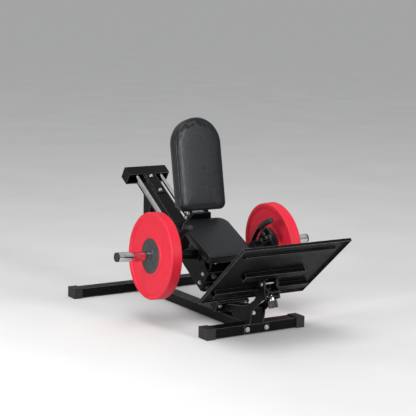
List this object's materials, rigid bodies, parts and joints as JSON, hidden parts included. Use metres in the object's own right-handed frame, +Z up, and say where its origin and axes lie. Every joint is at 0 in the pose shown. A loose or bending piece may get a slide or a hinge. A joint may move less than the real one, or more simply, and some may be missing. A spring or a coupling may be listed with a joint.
{
  "type": "leg press machine",
  "caption": "Compact plate-loaded leg press: seat carriage on two inclined guide rods, tilting foot plate, near-upright backrest, side levers and bumper plates on its horns.",
  "frame": {"origin": "on the floor under the middle of the machine's bounding box", "axes": "+Z up, +Y from the foot plate to the upper end of the rail, +X to the right seen from the foot plate"},
  "size_m": [1.1912, 1.5632, 1.0488],
  "materials": {
    "frame_black": "semi-gloss black powder coat with a fine texture",
    "zinc_bolts": "bright zinc plate",
    "chrome_steel": "polished chrome plate",
    "black_rubber": "matt moulded rubber",
    "black_plastic": "moulded black plastic",
    "black_leather": "smooth black synthetic leather over foam",
    "plywood": "dark stained plywood backing board",
    "red_rubber": "satin red bumper rubber",
    "hub_steel": "dark grey satin steel hub"
  },
  "bodies": {
    "frame": {"base_tube": "frame_black", "base_flanges": "frame_black", "front_foot": "frame_black", "rear_foot": "frame_black", "foot_end_caps": "black_rubber", "foot_bolts": "zinc_bolts", "rear_upright": "frame_black", "rail_beam": "frame_black", "upper_rod_bracket": "frame_black", "lower_rod_bracket": "frame_black", "guide_rod_left": "chrome_steel", "guide_rod_right": "chrome_steel", "rod_end_bolts": "zinc_bolts", "beam_bolts": "zinc_bolts", "rod_buffers": "black_rubber", "footplate_post": "frame_black", "pivot_bracket": "frame_black", "lock_plate": "frame_black", "pivot_bolt": "zinc_bolts", "lock_bolt": "zinc_bolts"},
    "carriage": {"carriage_side_left": "frame_black", "carriage_side_right": "frame_black", "carriage_front_beam": "frame_black", "carriage_rear_beam": "frame_black", "bearing_block_front_left": "frame_black", "bearing_block_front_right": "frame_black", "bearing_block_rear_left": "frame_black", "bearing_block_rear_right": "frame_black", "rod_bushes": "chrome_steel", "carriage_bolts": "zinc_bolts", "horn_cross_tube": "frame_black", "horn_left": "frame_black", "horn_right": "frame_black", "sleeve_left": "chrome_steel", "sleeve_right": "chrome_steel", "sleeve_caps": "black_rubber", "seat_frame": "frame_black", "seat_board": "plywood", "seat_pad": "black_leather", "backrest_bracket": "frame_black", "backrest_bolts": "zinc_bolts"},
    "backrest": {"backrest_arm": "frame_black", "backrest_board": "plywood", "backrest_pad": "black_leather"},
    "left_lever": {"lever_left": "frame_black", "lever_plate_left": "frame_black", "lever_grip_left": "black_rubber"},
    "right_lever": {"lever_right": "frame_black", "lever_plate_right": "frame_black", "lever_grip_right": "black_rubber"},
    "foot_plate": {"foot_plate": "frame_black", "foot_plate_stiffeners": "frame_black", "foot_plate_ears": "frame_black", "angle_sector": "frame_black"},
    "knob": {"lock_knob": "black_plastic"},
    "left_weight": {"weight_plate_left": "red_rubber", "plate_hub_left": "hub_steel"},
    "right_weight": {"weight_plate_right": "red_rubber", "plate_hub_right": "hub_steel"}
  },
  "joints": [
    {"name": "carriage_slide", "type": "slide", "parent": "frame", "child": "carriage", "axis": [0, 0.848, 0.5299], "range_m": [0, 0.45]},
    {"name": "backrest_recline", "type": "hinge", "parent": "carriage", "child": "backrest", "pos_m": [0, 0.14853, 0.5374], "axis": [-1, 0, 0], "range_deg": [0, 30]},
    {"name": "left_lever_turn", "type": "hinge", "parent": "carriage", "child": "left_lever", "pos_m": [-0.25676, -0.03642, 0.35783], "axis": [-0.9983, 0, 0.0576], "range_deg": [0, 40]},
    {"name": "right_lever_turn", "type": "hinge", "parent": "carriage", "child": "right_lever", "pos_m": [0.25676, -0.03642, 0.35783], "axis": [-0.9983, 0, -0.0576], "range_deg": [0, 40]},
    {"name": "foot_plate_tilt", "type": "hinge", "parent": "frame", "child": "foot_plate", "pos_m": [0, -0.53313, 0.28158], "axis": [1, 0, 0], "range_deg": [-10, 20]},
    {"name": "knob_turn", "type": "hinge", "parent": "frame", "child": "knob", "pos_m": [0, -0.53313, 0.28158], "axis": [0, -0.3746, -0.9272], "continuous": true},
    {"name": "left_weight_slide", "type": "slide", "parent": "carriage", "child": "left_weight", "axis": [-0.9983, 0, 0.0576], "range_m": [0, 0.18]},
    {"name": "right_weight_slide", "type": "slide", "parent": "carriage", "child": "right_weight", "axis": [0.9983, 0, 0.0576], "range_m": [0, 0.18]}
  ]
}
